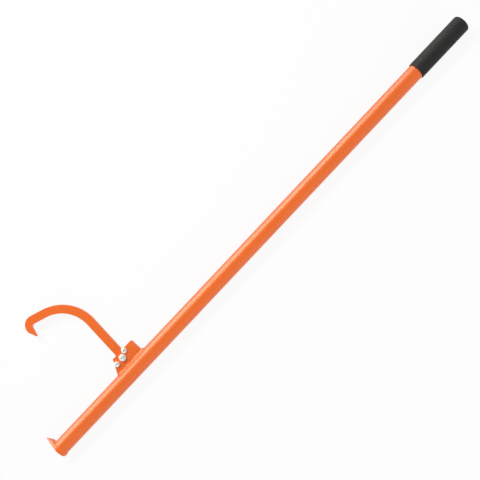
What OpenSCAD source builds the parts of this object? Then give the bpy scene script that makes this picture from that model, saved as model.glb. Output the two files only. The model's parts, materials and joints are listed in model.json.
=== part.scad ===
// Cant hook: a steel lever for rolling logs, with a hook that swings between two stop bolts.
// The origin is the middle of the toe plate's outer face. +X runs up the handle to the grip,
// +Y points to the hook's side, and +Z runs along the pivot bolt to its head.

/* [Handle] */
// Length from the toe plate's outer face to the end of the grip
overall_length = 1220; // [700:10:1800]
// Outside diameter of the handle tube
tube_od = 34; // [28:0.5:42]
// Wall of the handle tube
tube_wall = 2; // [1.5:0.1:4]

/* [Grip] */
// Length of the grip
grip_length = 140; // [90:5:300]
// Wall of the grip round the tube
grip_wall = 2; // [1.5:0.1:6]
// Thickness of the grip's closed end
grip_end = 6; // [2:0.5:12]
// Radius of the grip's rounded end
grip_end_radius = 5; // [2:0.5:8]
// Radius of the grip's open rim
grip_rim_radius = 0.8; // [0.2:0.1:1.2]

/* [Toe plate] */
// Thickness of the toe plate
toe_thickness = 6; // [4:0.5:12]
// How far the plate stands out round the tube
toe_rim = 1.5; // [1:0.25:4]
// Distance of the toe's point from the tube's axis
toe_reach = 36; // [30:1:50]
// Radius of the toe's point
toe_point_radius = 1.5; // [0.5:0.25:3]
// Length of the bevel that is ground on the point
toe_bevel = 12; // [4:1:14]
// Thickness that the bevel leaves at the point
toe_edge = 1; // [0.5:0.25:3]
// Height of the weld fillet up the tube
toe_weld_rise = 4.5; // [2:0.5:8]
// Bare land between the weld and the plate's edge
toe_weld_land = 0.25; // [0.1:0.05:0.5]

/* [Bracket] */
// Distance of the pivot from the toe plate's outer face
pivot_from_toe = 232; // [180:1:400]
// Height of the pivot above the tube
pivot_rise = 18.5; // [17:0.5:30]
// Sheet thickness of the bracket
bracket_sheet = 4; // [3:0.25:6]
// Inside radius of the bracket's bends
bracket_bend = 2; // [0.5:0.25:3]
// Distance from the pivot back to the web's outer face
bracket_back = 37.5; // [32:0.5:60]
// Distance from the pivot up to the top edge
bracket_above = 12.2; // [12:0.2:20]
// Distance from the pivot forward to the cheeks' top corner
bracket_front_top = 17; // [14:0.5:28]
// Distance from the pivot forward to the cheeks' foot on the tube
bracket_front_foot = 33.8; // [30:0.1:50]
// Radius of the cheeks' front top corner
bracket_front_radius = 3; // [1:0.5:6]
// Radius of the web's top corner
bracket_back_radius = 4; // [1:0.5:6]
// Leg of the weld bead round the bracket's foot
weld_leg = 5.5; // [3:0.5:7]
// Height of the weld bead's crown above a flat fillet
weld_crown = 1.5; // [0.5:0.25:2.5]

/* [Hook] */
// Thickness of the hook's plate
hook_thickness = 8; // [6:0.5:12]
// Width of the hook's bar
hook_width = 18; // [15:0.5:22]
// Side play between the hook and each cheek
hook_play = 0.5; // [0.3:0.1:1.5]
// Lean of the open hook's shank towards the grip, in degrees
shank_lean = 4; // [0:1:8]
// Length of the shank from the pivot to the bend
shank_length = 100; // [70:1:160]
// Radius of the bend on the bar's middle line
bend_radius = 80; // [50:1:120]
// Angle of the bend, in degrees
bend_angle = 75.4; // [50:0.2:95]
// Length of the straight arm from the bend to the beak's inner edge
arm_length = 34; // [28:0.5:60]
// Radius of the round back of the beak
beak_back_radius = 21; // [18:0.5:26]
// Distance of the round back's centre behind the beak's inner edge
beak_back_offset = 7; // [3:0.5:10]
// End of the round back, in degrees past the arm's direction
beak_back_end = 25; // [5:1:40]
// Depth of the beak below the arm's inner edge
beak_depth = 25.5; // [18:0.5:32]
// Flat left at the beak's point
beak_flat = 1.2; // [0.4:0.2:3]
// Radius of the fillet inside the beak
beak_fillet = 6; // [2:0.5:10]

/* [Pivot bolt] */
// Thread diameter of the pivot bolt
pivot_d = 8; // [6:0.5:9]
// Width across the flats of the pivot bolt's head and nut
pivot_flats = 13; // [12:0.5:15]
// Height of the pivot bolt's head
pivot_head = 5.3; // [4:0.1:7]
// Height of the pivot nut
pivot_nut_height = 8; // [6:0.5:11]
// Outside diameter of the pivot bolt's washers
pivot_washer_d = 15; // [13:0.5:17]
// Radial running clearance of the hook on the pivot bolt
pivot_clearance = 0.05; // [0.02:0.01:0.1]

/* [Stop bolts] */
// Thread diameter of the stop bolts
stop_d = 6; // [5:0.5:6.5]
// Width across the flats of the stop bolts' heads and nuts
stop_flats = 10; // [9.5:0.5:13]
// Height of the stop bolts' heads
stop_head = 4; // [3:0.1:5.5]
// Height of the stop nuts
stop_nut_height = 6; // [5:0.5:8]
// Outside diameter of the stop bolts' washers
stop_washer_d = 12; // [10.5:0.5:14]
// Distance of the open stop along the shank from the pivot
open_stop_along = 8.7; // [7:0.1:9]
// Gap between the open hook's shank and the open stop
open_stop_gap = 0.3; // [0.2:0.1:1]
// Distance of the closed stop forward of the pivot
closed_stop_forward = 18; // [16:0.5:20]
// Distance of the closed stop below the pivot
closed_stop_below = 0.9; // [-2:0.1:4]

/* [Fasteners] */
// Thickness of the washers
washer_thickness = 1.6; // [1:0.1:3]
// Radial clearance of washers, nuts and sheet on their bolts
bolt_clearance = 0.1; // [0.05:0.05:0.3]
// Thread that stands out past each nut
bolt_past_nut = 2; // [1:0.5:5]
// Chamfer at the end of each bolt
bolt_chamfer = 0.8; // [0.3:0.1:1.2]
// Depth of the dish in each bolt's head
head_dish = 0.6; // [0.2:0.1:1]
// Height of the nuts' round collars
nut_collar = 2; // [1.5:0.1:3]
// Radius of the collars' rounded edge
nut_round = 0.8; // [0.2:0.1:0.8]
// Lip of the collar over the locking ring
nut_lip = 0.5; // [0.3:0.1:0.8]
// Wall of the collar round the locking ring
collar_wall = 0.9; // [0.5:0.1:1]

/* [Hidden] */
$fn = 96;

ORANGE = "#ee7030";
ZINC = "#c4c6c8";
RUBBER = "#3b3b3d";
NYLON = "#e4e6e8";

// Extra length of cutting tools past the faces that they cut
cut = 1;
// Number of sides of a hexagon
HEX = 6;
// Share of the flats' width that a hexagon's chamfer leaves round, and that its dish takes
CROWN = 0.95;
DISH = 0.55;
// Rise of a hexagon's chamfer over its run
CHAMFER_SLOPE = tan(30);

tube_r = tube_od / 2;
tube_end = overall_length - grip_end;
grip_r = tube_r + grip_wall;

bracket_gap = hook_thickness + 2 * hook_play;
bracket_w = bracket_gap + 2 * bracket_sheet;

pivot = [pivot_from_toe, tube_r + pivot_rise];
web_x = pivot.x + bracket_back;
front_foot = [pivot.x - bracket_front_foot, tube_r];
front_top = [pivot.x - bracket_front_top, pivot.y + bracket_above];
back_top = [web_x, front_top.y];

shank_way = [sin(shank_lean), cos(shank_lean)];
shank_right = [cos(shank_lean), -sin(shank_lean)];
open_stop_side = hook_width / 2 + open_stop_gap + stop_d / 2;
open_stop = pivot + open_stop_along * shank_way + open_stop_side * shank_right;
closed_stop = pivot - [closed_stop_forward, closed_stop_below];

// Height of the bolt heads' seats above the tube's axis, and of the nuts' seats below it
seat = bracket_w / 2 + washer_thickness;

function unit(v) = v / norm(v);

// Radius of an arc over a chord, from half the chord and the arc's height
function arc_radius(half, height) = (half * half + height * height) / (2 * height);

// Takes a convex corner off a flat shape at p; a and b point along the corner's two edges
module corner_cut(p, a, b, r) {
    half = acos(a * b) / 2;
    run = r / tan(half);
    middle = p + unit(a + b) * r / sin(half);
    difference() {
        polygon([p - cut * unit(a + b), p + a * run, middle, p + b * run]);
        translate(middle) circle(r);
    }
}

// Lays what is drawn along Z along the tube, with X of the drawing towards the hook's side
module along_tube() {
    rotate([90, 0, 90]) children();
}

// Everything inside the tube's outer face
module tube_core() {
    along_tube() cylinder(r = tube_r, h = overall_length);
}

module handle_tube() {
    length = tube_end - toe_thickness;
    color(ORANGE)
    along_tube()
    translate([0, 0, toe_thickness])
    difference() {
        cylinder(r = tube_r, h = length);
        translate([0, 0, -cut]) cylinder(r = tube_r - tube_wall, h = length + 2 * cut);
    }
}

module grip() {
    color(RUBBER)
    along_tube()
    translate([0, 0, overall_length - grip_length])
    rotate_extrude()
    difference() {
        square([grip_r, grip_length]);
        translate([0, -cut]) square([tube_r, grip_length - grip_end + cut]);
        corner_cut([grip_r, grip_length], [-1, 0], [0, -1], grip_end_radius);
        corner_cut([grip_r, 0], [-1, 0], [0, 1], grip_rim_radius);
    }
}

// A disc that runs out along two tangents to the point
module toe_outline() {
    back_r = tube_r + toe_rim;
    point = [toe_reach - toe_point_radius, 0];
    turn = acos((back_r - toe_point_radius) / point.x);
    left = [cos(turn), sin(turn)];
    right = [cos(turn), -sin(turn)];
    circle(back_r);
    translate(point) circle(toe_point_radius);
    polygon([
        right * back_r,
        point + right * toe_point_radius,
        point + left * toe_point_radius,
        left * back_r
    ]);
}

module toe_plate() {
    past = toe_reach + cut;
    color(ORANGE)
    difference() {
        along_tube() linear_extrude(toe_thickness) toe_outline();
        linear_extrude(2 * past, center = true)
            polygon([
                [toe_thickness, toe_reach - toe_bevel],
                [toe_edge, toe_reach],
                [toe_edge, past],
                [toe_thickness + cut, past],
                [toe_thickness + cut, toe_reach - toe_bevel]
            ]);
    }
}

module toe_weld() {
    color(ORANGE)
    along_tube()
    rotate_extrude()
    polygon([
        [tube_r, toe_thickness],
        [tube_r + toe_rim - toe_weld_land, toe_thickness],
        [tube_r, toe_thickness + toe_weld_rise]
    ]);
}

// Section of a folded channel from start_x to its rounded closed end
module channel(start_x, end_x, w, r) {
    difference() {
        translate([start_x, -w / 2]) square([end_x - start_x, w]);
        for (side = [-1, 1])
            corner_cut([end_x, side * w / 2], [-1, 0], [0, -side], r);
    }
}

module outer_channel() {
    channel(front_foot.x - bracket_front_foot, web_x, bracket_w, bracket_bend + bracket_sheet);
}

module inner_channel() {
    channel(0, web_x - bracket_sheet, bracket_gap, bracket_bend);
}

// Stands a channel's section up from the tube's axis to the bracket's top
module stand_up() {
    rotate([-90, 0, 0]) linear_extrude(back_top.y) children();
}

// Side of the bracket, with its foot on the tube's axis
module cheek_outline() {
    foot_way = unit(front_foot - front_top);
    foot = front_top - foot_way * front_top.y / foot_way.y;
    difference() {
        polygon([foot, front_top, back_top, [web_x, 0]]);
        corner_cut(front_top, foot_way, [1, 0], bracket_front_radius);
        corner_cut(back_top, [-1, 0], [0, -1], bracket_back_radius);
    }
}

module bracket_bore(place, d) {
    translate(place) cylinder(r = d / 2 + bolt_clearance, h = bracket_w + 2 * cut, center = true);
}

module hook_bracket() {
    color(ORANGE)
    difference() {
        intersection() {
            stand_up() difference() {
                outer_channel();
                inner_channel();
            }
            linear_extrude(bracket_w + 2 * cut, center = true) cheek_outline();
        }
        tube_core();
        bracket_bore(pivot, pivot_d);
        bracket_bore(open_stop, stop_d);
        bracket_bore(closed_stop, stop_d);
    }
}

// Weld bead with a crowned face, up both cheeks and round the web
module bracket_weld() {
    corner_turn = asin(bracket_w / 2 / tube_r);
    toe_turn = corner_turn + weld_leg / tube_r * 180 / PI;
    cheek_toe = tube_r * [cos(corner_turn), sin(corner_turn)] + [weld_leg, 0];
    tube_toe = tube_r * [cos(toe_turn), sin(toe_turn)];
    face = cheek_toe - tube_toe;
    cheek_r = arc_radius(norm(face) / 2, weld_crown);
    cheek_middle = (cheek_toe + tube_toe) / 2 + (weld_crown - cheek_r) * unit([-face.y, face.x]);
    start_x = front_foot.x + cheek_r;
    end_x = web_x + weld_leg - cheek_r;

    web_r = arc_radius(weld_leg / sqrt(2), weld_crown);
    web_middle = [tube_r, web_x] + [1, 1] * (weld_leg / 2 + (weld_crown - web_r) / sqrt(2));

    color(ORANGE)
    difference() {
        union() {
            for (side = [-1, 1])
                translate([0, cheek_middle.x, side * cheek_middle.y]) {
                    translate([start_x, 0, 0]) sphere(cheek_r);
                    translate([start_x, 0, 0]) rotate([0, 90, 0]) cylinder(r = cheek_r, h = end_x - start_x);
                    translate([end_x, 0, 0]) sphere(cheek_r);
                }
            along_tube()
                rotate(-corner_turn)
                rotate_extrude(angle = 2 * corner_turn)
                translate(web_middle) circle(web_r);
        }
        tube_core();
        stand_up() outer_channel();
    }
}

// Middle of the bend
module at_bend() {
    translate([-bend_radius, shank_length]) children();
}

// The bend's end, with X along the arm and Y towards the inside of the hook
module at_arm() {
    at_bend() rotate(bend_angle) translate([bend_radius, 0]) rotate(90) children();
}

// Shank, bend and arm: everything inside their outer edge, less the space that they go round
module bar_outline() {
    half = hook_width / 2;
    far = 2 * (shank_length + bend_radius + arm_length);
    arm_end = arm_length - beak_back_offset;
    difference() {
        union() {
            circle(half);
            translate([-bend_radius, 0]) square([bend_radius + half, shank_length]);
            at_bend() circle(bend_radius + half);
            at_arm() translate([0, -half]) square([arm_end, bend_radius + half]);
        }
        at_bend() circle(bend_radius - half);
        translate([-half - far, -half - cut]) square([far, shank_length + half + cut]);
        at_arm() translate([0, half]) square(far);
        at_arm() translate([arm_end, -half - cut]) square(far);
    }
}

// Round back and pointed beak at the arm's end
module beak_outline() {
    half = hook_width / 2;
    corner = [arm_length, half];
    back = [arm_length - beak_back_offset, beak_back_radius - half];
    back_last = back + beak_back_radius * [cos(beak_back_end), sin(beak_back_end)];
    point_y = half + beak_depth;
    intersection() {
        translate(back) circle(beak_back_radius);
        union() {
            translate([back.x - cut, -half]) square([beak_back_radius + 2 * cut, hook_width]);
            translate([corner.x, -half]) square([beak_back_radius, back_last.y + half]);
        }
    }
    polygon([corner, [corner.x, point_y], [corner.x + beak_flat, point_y], back_last]);
    difference() {
        translate(corner - [beak_fillet, cut]) square(beak_fillet + cut);
        translate(corner + [-beak_fillet, beak_fillet]) circle(beak_fillet);
    }
}

module hook() {
    color(ORANGE)
    translate(pivot)
    rotate(-shank_lean)
    difference() {
        union() {
            linear_extrude(hook_thickness, center = true) bar_outline();
            linear_extrude(hook_thickness, center = true) at_arm() beak_outline();
        }
        cylinder(r = pivot_d / 2 + pivot_clearance, h = hook_thickness + 2 * cut, center = true);
    }
}

// Hexagonal prism with its upper corners chamfered
module hexagon(flats, h) {
    crown_r = CROWN * flats / 2;
    intersection() {
        cylinder(d = flats / cos(180 / HEX), h = h, $fn = HEX);
        cylinder(r1 = crown_r + h / CHAMFER_SLOPE, r2 = crown_r, h = h);
    }
}

module bolt(place, d, flats, head, nut_height) {
    tip = seat + nut_height + bolt_past_nut;
    color(ZINC)
    translate(place) {
        translate([0, 0, seat])
        difference() {
            hexagon(flats, head);
            translate([0, 0, head - head_dish]) cylinder(d = DISH * flats, h = head_dish + cut);
        }
        translate([0, 0, bolt_chamfer - tip]) cylinder(d = d, h = tip + seat + cut - bolt_chamfer);
        translate([0, 0, -tip]) cylinder(d1 = d - 2 * bolt_chamfer, d2 = d, h = bolt_chamfer);
    }
}

// Washer whose lower face is at height z
module washer(place, d, washer_d, z) {
    color(ZINC)
    translate([place.x, place.y, z])
    difference() {
        cylinder(d = washer_d, h = washer_thickness);
        translate([0, 0, -cut]) cylinder(r = d / 2 + bolt_clearance, h = washer_thickness + 2 * cut);
    }
}

module head_washer(place, d, washer_d) {
    washer(place, d, washer_d, bracket_w / 2);
}

module nut_washer(place, d, washer_d) {
    washer(place, d, washer_d, -seat);
}

// Hangs what is drawn upwards below a nut's seat
module below_seat(place) {
    translate(place) rotate([180, 0, 0]) translate([0, 0, seat]) children();
}

function collar_r(flats) = CROWN * flats / 2;
function ring_r(flats) = collar_r(flats) - collar_wall;
function ring_bore(d) = d / 2 + bolt_clearance;

module lock_nut(place, d, flats, h) {
    hex_height = h - nut_collar;
    mouth = (ring_r(flats) + ring_bore(d)) / 2;
    color(ZINC)
    below_seat(place)
    difference() {
        union() {
            hexagon(flats, hex_height);
            rotate_extrude()
            difference() {
                square([collar_r(flats), h]);
                corner_cut([collar_r(flats), h], [-1, 0], [0, -1], nut_round);
            }
        }
        translate([0, 0, -cut]) cylinder(r = ring_bore(d), h = h + 2 * cut);
        translate([0, 0, hex_height]) cylinder(r = ring_r(flats), h = nut_collar - nut_lip);
        translate([0, 0, hex_height]) cylinder(r = mouth, h = nut_collar + cut);
    }
}

// Nylon ring held in a lock nut's collar
module lock_ring(place, d, flats, h) {
    height = nut_collar - nut_lip;
    color(NYLON)
    below_seat(place)
    translate([0, 0, h - nut_collar])
    difference() {
        cylinder(r = ring_r(flats), h = height);
        translate([0, 0, -cut]) cylinder(r = ring_bore(d), h = height + 2 * cut);
    }
}

module pivot_bolt() { bolt(pivot, pivot_d, pivot_flats, pivot_head, pivot_nut_height); }
module pivot_head_washer() { head_washer(pivot, pivot_d, pivot_washer_d); }
module pivot_nut_washer() { nut_washer(pivot, pivot_d, pivot_washer_d); }
module pivot_nut() { lock_nut(pivot, pivot_d, pivot_flats, pivot_nut_height); }
module pivot_nut_insert() { lock_ring(pivot, pivot_d, pivot_flats, pivot_nut_height); }

module open_stop_bolt() { bolt(open_stop, stop_d, stop_flats, stop_head, stop_nut_height); }
module open_stop_head_washer() { head_washer(open_stop, stop_d, stop_washer_d); }
module open_stop_nut_washer() { nut_washer(open_stop, stop_d, stop_washer_d); }
module open_stop_nut() { lock_nut(open_stop, stop_d, stop_flats, stop_nut_height); }
module open_stop_nut_insert() { lock_ring(open_stop, stop_d, stop_flats, stop_nut_height); }

module closed_stop_bolt() { bolt(closed_stop, stop_d, stop_flats, stop_head, stop_nut_height); }
module closed_stop_head_washer() { head_washer(closed_stop, stop_d, stop_washer_d); }
module closed_stop_nut_washer() { nut_washer(closed_stop, stop_d, stop_washer_d); }
module closed_stop_nut() { lock_nut(closed_stop, stop_d, stop_flats, stop_nut_height); }
module closed_stop_nut_insert() { lock_ring(closed_stop, stop_d, stop_flats, stop_nut_height); }

handle_tube();
grip();
toe_plate();
toe_weld();
hook_bracket();
bracket_weld();
hook();
pivot_bolt();
pivot_head_washer();
pivot_nut_washer();
pivot_nut();
pivot_nut_insert();
open_stop_bolt();
open_stop_head_washer();
open_stop_nut_washer();
open_stop_nut();
open_stop_nut_insert();
closed_stop_bolt();
closed_stop_head_washer();
closed_stop_nut_washer();
closed_stop_nut();
closed_stop_nut_insert();
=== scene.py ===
"""Looks of a steel cant hook: bevelled plates, weld beads, threads, finishes and the studio."""

import json
import logging
import math
from dataclasses import dataclass, field
from enum import Enum
from typing import Callable, Iterable, NamedTuple

import bmesh
import bpy
from bmesh.types import BMEdge, BMesh, BMVert
from bpy.types import ID, Material, Node, NodeSocket, NodeTree, Object
from mathutils import Matrix, Vector


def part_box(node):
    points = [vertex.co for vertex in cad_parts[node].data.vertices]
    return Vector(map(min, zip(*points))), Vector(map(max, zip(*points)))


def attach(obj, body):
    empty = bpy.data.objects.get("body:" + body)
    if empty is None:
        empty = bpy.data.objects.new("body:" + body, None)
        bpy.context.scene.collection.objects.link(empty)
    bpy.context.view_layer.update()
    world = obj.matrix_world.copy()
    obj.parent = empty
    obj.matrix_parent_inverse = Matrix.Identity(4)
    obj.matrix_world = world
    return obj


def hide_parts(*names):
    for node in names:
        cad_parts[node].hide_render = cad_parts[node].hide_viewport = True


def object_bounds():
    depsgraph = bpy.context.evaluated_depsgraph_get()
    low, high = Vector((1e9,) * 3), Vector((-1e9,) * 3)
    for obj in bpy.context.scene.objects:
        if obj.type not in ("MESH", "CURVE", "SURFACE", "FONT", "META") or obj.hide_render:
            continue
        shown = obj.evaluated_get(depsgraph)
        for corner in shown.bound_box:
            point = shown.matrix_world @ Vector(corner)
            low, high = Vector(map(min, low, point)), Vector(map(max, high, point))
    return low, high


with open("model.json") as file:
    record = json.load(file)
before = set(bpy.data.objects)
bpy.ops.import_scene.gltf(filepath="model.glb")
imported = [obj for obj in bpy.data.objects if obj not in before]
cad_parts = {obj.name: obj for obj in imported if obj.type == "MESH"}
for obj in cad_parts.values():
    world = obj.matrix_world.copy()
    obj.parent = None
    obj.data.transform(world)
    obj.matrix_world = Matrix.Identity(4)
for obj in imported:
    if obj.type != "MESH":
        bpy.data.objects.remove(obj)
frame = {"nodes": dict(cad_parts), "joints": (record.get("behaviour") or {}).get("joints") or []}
cad_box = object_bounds()

logging.basicConfig(level=logging.INFO, format="%(message)s")
log = logging.getLogger("cant_hook")

Colour = tuple[float, float, float]
WHITE: Colour = (1.0, 1.0, 1.0)

# Vertices that lie closer than this, in metres, are one vertex
MERGE = 0.00001
# Faces that meet at less than this angle are shaded as one smooth face
SMOOTH_ANGLE = math.radians(35)
# Faces that meet at more than this angle form an edge that a maker would break
SHARP_ANGLE = math.radians(50)
# Face attribute that marks the rounded edges, where a coat is thin and where zinc gets a painted shade
EDGE_MARK = "rounded_edge"
# Faces across the round of a broken edge
EDGE_PARTS = 3
# Angle that one side of a hexagon spans about its middle
HEX_SIDE = math.radians(60)
# Fall of the chamfer on a hexagon's corners, as height over reach
HEX_FALL = math.tan(math.radians(30))

X_AXIS = Vector((1, 0, 0))
Y_AXIS = Vector((0, 1, 0))
Z_AXIS = Vector((0, 0, 1))
# Lays a drawing across the tube, with its height up the handle
ACROSS_TUBE = Matrix(((0, 0, 1, 0), (1, 0, 0, 0), (0, 1, 0, 0), (0, 0, 0, 1)))
# Stands a drawing's height up towards the hook's side
STOOD_UP = Matrix.Rotation(-math.pi / 2, 4, "X")
# Turns a piece upside down
HUNG_DOWN = Matrix.Rotation(math.pi, 4, "X")


class Body(Enum):
    """Rigid bodies of the tool."""

    HANDLE = "handle"
    HOOK = "hook"


class Slot(Enum):
    """Material slots of the tool's record."""

    PAINT = "orange_paint"
    RUBBER = "grip_rubber"
    ZINC = "zinc"
    NYLON = "nylon"


class Outline(Enum):
    """Shape of one ring of a stacked piece."""

    ROUND = "round"
    HEX = "hex"


class Throw(Enum):
    """What a studio light works on."""

    MATT = "matt colour, with no mirror image"
    GLOSS = "mirror image only"


class NodeSketch:
    """Adds and links the nodes of one tree."""

    def __init__(self, tree: NodeTree) -> None:
        """Keep the tree that is drawn."""
        self.tree = tree

    @classmethod
    def start(cls, owner: ID) -> "NodeSketch":
        """Start an empty tree.

        Args:
            owner: The material or world.

        Returns:
            A sketch of its tree.
        """
        owner.use_nodes = True
        owner.node_tree.nodes.clear()
        return cls(owner.node_tree)

    def add(self, kind: str, *values: object, **named: object) -> Node:
        """Add a node, with its settings and inputs.

        Args:
            kind: Name of the node's type, without its ShaderNode prefix.
            values: Values or sockets, in the order of the inputs.
            named: Settings, whose names are in lower case, and values or sockets by the input's
                name, with underscores for spaces.

        Returns:
            The new node.
        """
        node = self.tree.nodes.new("ShaderNode" + kind)
        for name in filter(str.islower, named):
            setattr(node, name, named[name])
        for socket, value in zip(node.inputs, values):
            self.feed(socket, value)
        for name in named:
            if not name.islower():
                self.feed(node.inputs[name.replace("_", " ")], named[name])
        return node

    def feed(self, socket: NodeSocket, value: object) -> None:
        """Link a socket into an input, or set the input's value.

        Args:
            socket: The input.
            value: The socket to link, or the value, with a colour as red, green and blue.
        """
        if isinstance(value, NodeSocket):
            self.tree.links.new(value, socket)
        elif socket.type == "RGBA":
            socket.default_value = (*value, 1.0)
        else:
            socket.default_value = value

    def maths(self, operation: str, *values: object) -> NodeSocket:
        """Work out values or sockets with a Math node, and return the result."""
        return self.add("Math", *values, operation=operation).outputs[0]

    def mix(self, share: object, low: object, high: object) -> NodeSocket:
        """Mix two colours.

        Args:
            share: Share of the second colour.
            low: The first colour.
            high: The second colour.

        Returns:
            The mixed colour.
        """
        node = self.add("Mix", data_type="RGBA")
        sockets = {socket.identifier: socket for socket in node.inputs}
        self.feed(sockets["Factor_Float"], share)
        self.feed(sockets["A_Color"], low)
        self.feed(sockets["B_Color"], high)
        return next(socket for socket in node.outputs if socket.identifier == "Result_Color")

    def blend(self, share: NodeSocket, low: NodeSocket, high: NodeSocket) -> NodeSocket:
        """Mix two shaders by the share of the second one."""
        return self.add("MixShader", share, low, high).outputs["Shader"]

    def spread(self, value: NodeSocket, low: object, high: object) -> NodeSocket:
        """Stretch a value from 0 to 1 over the range from low to high."""
        return self.add("MapRange", Value=value, To_Min=low, To_Max=high).outputs["Result"]

    def cut(self, value: NodeSocket, low: float, high: float) -> NodeSocket:
        """Stretch the range from low to high over 0 to 1, and clip the rest."""
        return self.add("MapRange", Value=value, From_Min=low, From_Max=high).outputs["Result"]

    def noise(self, scale: object, detail: float) -> NodeSocket:
        """Add noise in the piece's own coordinates and return its value."""
        place = self.add("TexCoord").outputs["Object"]
        return self.add("TexNoise", Vector=place, Scale=scale, Detail=detail).outputs["Fac"]

    def group(self, tree: NodeTree, *values: object) -> Node:
        """Place a shared group, with values or sockets in the order of its inputs."""
        return self.add("Group", *values, node_tree=tree)


class SurfaceGroups:
    """Shared surface effects, each built once as a node group."""

    def __init__(self) -> None:
        """Build a slow change of tone, a broken line on edges, which stands for a thin coat on paint
        and is painted shade on zinc, and a fine relief.
        """
        self.tone_drift = self.build_mix("tone_drift", detail=4.0, fade=(0.35, 0.7))
        self.edge_wear_and_shade = self.build_mix("edge_wear_and_shade", detail=2.0, fade=(0.1, 0.8), mark=EDGE_MARK)
        self.grain = self.build_grain()

    @staticmethod
    def start(
        name: str, inputs: Iterable[str], outputs: Iterable[str]
    ) -> tuple[NodeSketch, Node, Node]:
        """Start a group with named sockets; a name that ends in colour makes a colour socket.

        Args:
            name: Name of the group.
            inputs: Names of its inputs.
            outputs: Names of its outputs.

        Returns:
            A sketch of the group's tree, its input node and its output node.
        """
        tree = bpy.data.node_groups.new(name, "ShaderNodeTree")
        for names, way in ((inputs, "INPUT"), (outputs, "OUTPUT")):
            for socket in names:
                kind = "NodeSocketColor" if socket.endswith("colour") else "NodeSocketFloat"
                tree.interface.new_socket(socket, in_out=way, socket_type=kind)
        return NodeSketch(tree), tree.nodes.new("NodeGroupInput"), tree.nodes.new("NodeGroupOutput")

    def build_mix(
        self, name: str, detail: float, fade: tuple[float, float], mark: str = ""
    ) -> NodeTree:
        """Mix two colours by noise.

        Args:
            name: Name of the group.
            detail: Octaves of the noise.
            fade: Noise values between which the second colour fades in.
            mark: Face attribute that keeps the mix to the faces that have it, if one is given.

        Returns:
            The group.
        """
        sketch, given, result = self.start(
            name, ("Main colour", "Other colour", "Scale", "Amount"), ("Mixed colour", "Mask")
        )
        mask = sketch.cut(sketch.noise(given.outputs["Scale"], detail), *fade)
        if mark:
            marked = sketch.add("Attribute", attribute_name=mark).outputs["Fac"]
            mask = sketch.maths("MULTIPLY", marked, mask)
        share = sketch.maths("MULTIPLY", mask, given.outputs["Amount"])
        mixed = sketch.mix(share, given.outputs["Main colour"], given.outputs["Other colour"])
        sketch.feed(result.inputs["Mixed colour"], mixed)
        sketch.feed(result.inputs["Mask"], mask)
        return sketch.tree

    def build_grain(self) -> NodeTree:
        """Raise soft swells with a finer tooth on them, as on a sprayed or moulded surface.

        Returns:
            The group.
        """
        sketch, given, result = self.start(
            "surface_grain", ("Swell scale", "Tooth scale", "Tooth share"), ("Height",)
        )
        swell = sketch.noise(given.outputs["Swell scale"], detail=1.0)
        place = sketch.add("TexCoord").outputs["Object"]
        cells = sketch.add("TexVoronoi", Vector=place, Scale=given.outputs["Tooth scale"])
        tooth = sketch.maths("SUBTRACT", 1.0, cells.outputs["Distance"])
        share = sketch.maths("MULTIPLY", tooth, given.outputs["Tooth share"])
        sketch.feed(result.inputs["Height"], sketch.maths("ADD", swell, share))
        return sketch.tree


@dataclass(frozen=True)
class Finish:
    """One surface finish: its colours, gloss and relief.

    Scales are repeats per metre, and the relief is a height in metres.
    """

    name: str
    slot: Slot
    colour: Colour
    drift_colour: Colour
    edge_colour: Colour
    drift_scale: float
    drift_amount: float
    edge_amount: float
    roughness: tuple[float, float]
    metallic: float
    specular: float
    swell_scale: float
    tooth_scale: float
    tooth_share: float
    relief: float
    edge_scale: float = 300.0

    def material(self, groups: SurfaceGroups) -> Material:
        """Build the finish as a material, or return it if it is built.

        Args:
            groups: The shared surface effects.

        Returns:
            The material, with one Principled BSDF fed by the groups.
        """
        if self.name in bpy.data.materials:
            return bpy.data.materials[self.name]
        made = bpy.data.materials.new(self.name)
        sketch = NodeSketch.start(made)
        drift = sketch.group(
            groups.tone_drift, self.colour, self.drift_colour, self.drift_scale, self.drift_amount
        )
        edges = sketch.group(
            groups.edge_wear_and_shade,
            drift.outputs["Mixed colour"], self.edge_colour, self.edge_scale, self.edge_amount,
        )
        grain = sketch.group(groups.grain, self.swell_scale, self.tooth_scale, self.tooth_share)
        bump = sketch.add("Bump", Height=grain.outputs["Height"], Distance=self.relief)
        shader = sketch.add(
            "BsdfPrincipled",
            Base_Color=edges.outputs["Mixed colour"],
            Roughness=sketch.spread(drift.outputs["Mask"], *self.roughness),
            Metallic=self.metallic,
            Specular_IOR_Level=self.specular,
            Normal=bump.outputs["Normal"],
        )
        sketch.add("OutputMaterial", Surface=shader.outputs["BSDF"])
        return made


POWDER_COAT = Finish(
    name="orange_powder_coat", slot=Slot.PAINT,
    colour=(0.845, 0.144, 0.009), drift_colour=(0.81, 0.131, 0.008), edge_colour=(0.95, 0.27, 0.07),
    drift_scale=9.0, drift_amount=0.6, edge_amount=0.25,
    roughness=(0.25, 0.32), metallic=0.0, specular=0.57,
    swell_scale=1000.0, tooth_scale=2600.0, tooth_share=0.15, relief=0.0000025,
)
# The weld's paler orange, beside the powder coat, is a painted highlight on the bead.
WELD_WITH_PAINTED_HIGHLIGHT = Finish(
    name="orange_weld_painted_highlight", slot=Slot.PAINT,
    colour=(0.84, 0.155, 0.018), drift_colour=(0.81, 0.132, 0.012), edge_colour=(0.95, 0.27, 0.07),
    drift_scale=120.0, drift_amount=0.7, edge_amount=0.5,
    roughness=(0.36, 0.46), metallic=0.0, specular=0.4,
    swell_scale=600.0, tooth_scale=1400.0, tooth_share=0.25, relief=0.00004,
)
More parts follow.
